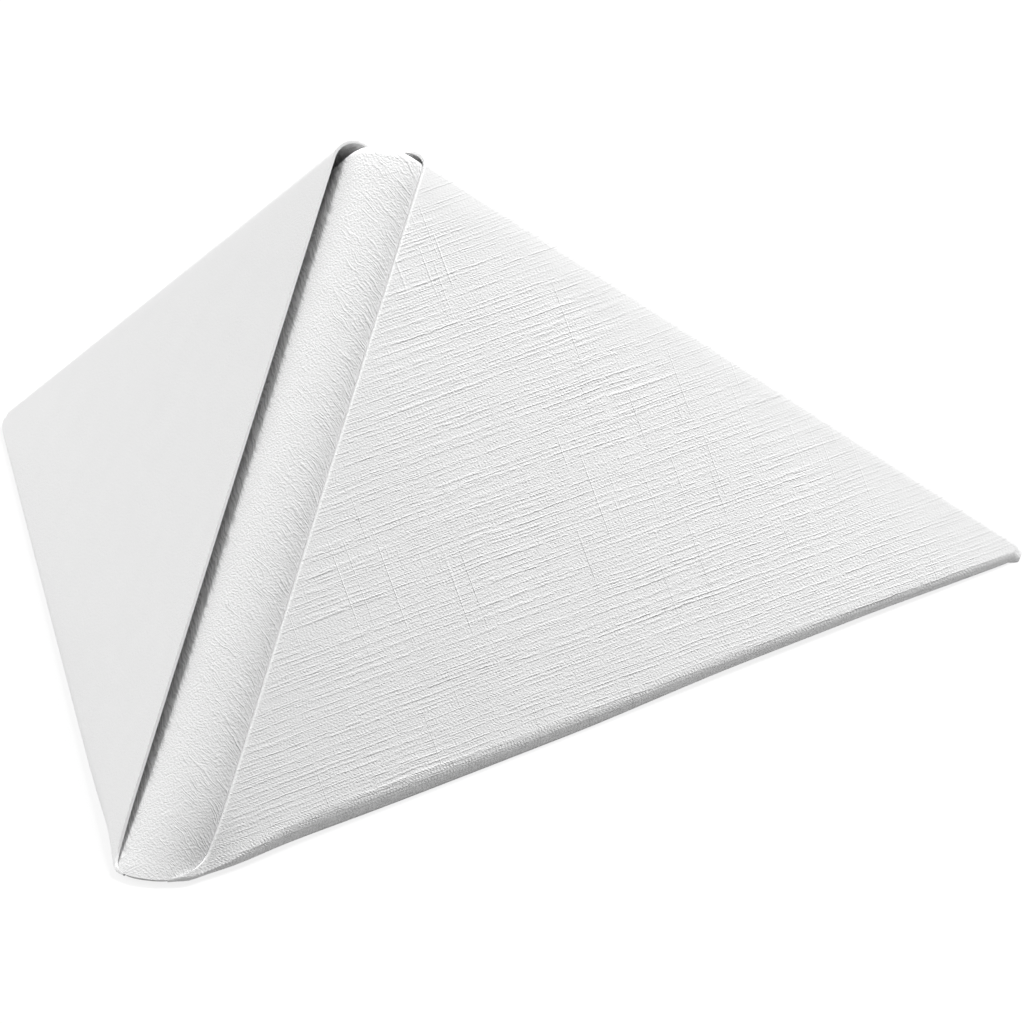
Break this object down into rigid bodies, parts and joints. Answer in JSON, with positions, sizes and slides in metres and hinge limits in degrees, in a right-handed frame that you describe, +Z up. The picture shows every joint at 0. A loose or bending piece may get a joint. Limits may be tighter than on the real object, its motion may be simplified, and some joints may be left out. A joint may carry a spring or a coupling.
{
  "type": "paper napkin",
  "caption": "Square paper napkin in a pyramid fold: two triangular wings under folded-in flaps meet at a rounded ridge and stand as a small tent, open at the back.",
  "frame": {"origin": "on the table, under the middle of the whole folded napkin", "axes": "+Z up, +X to the right wing's tip as seen from the front foot, +Y from the front foot to the open back"},
  "size_m": [0.1864, 0.1802, 0.0873],
  "materials": {
    "napkin_paper": "matt white paper with a linen embossing"
  },
  "bodies": {
    "root": {"napkin": "napkin_paper"}
  },
  "joints": []
}
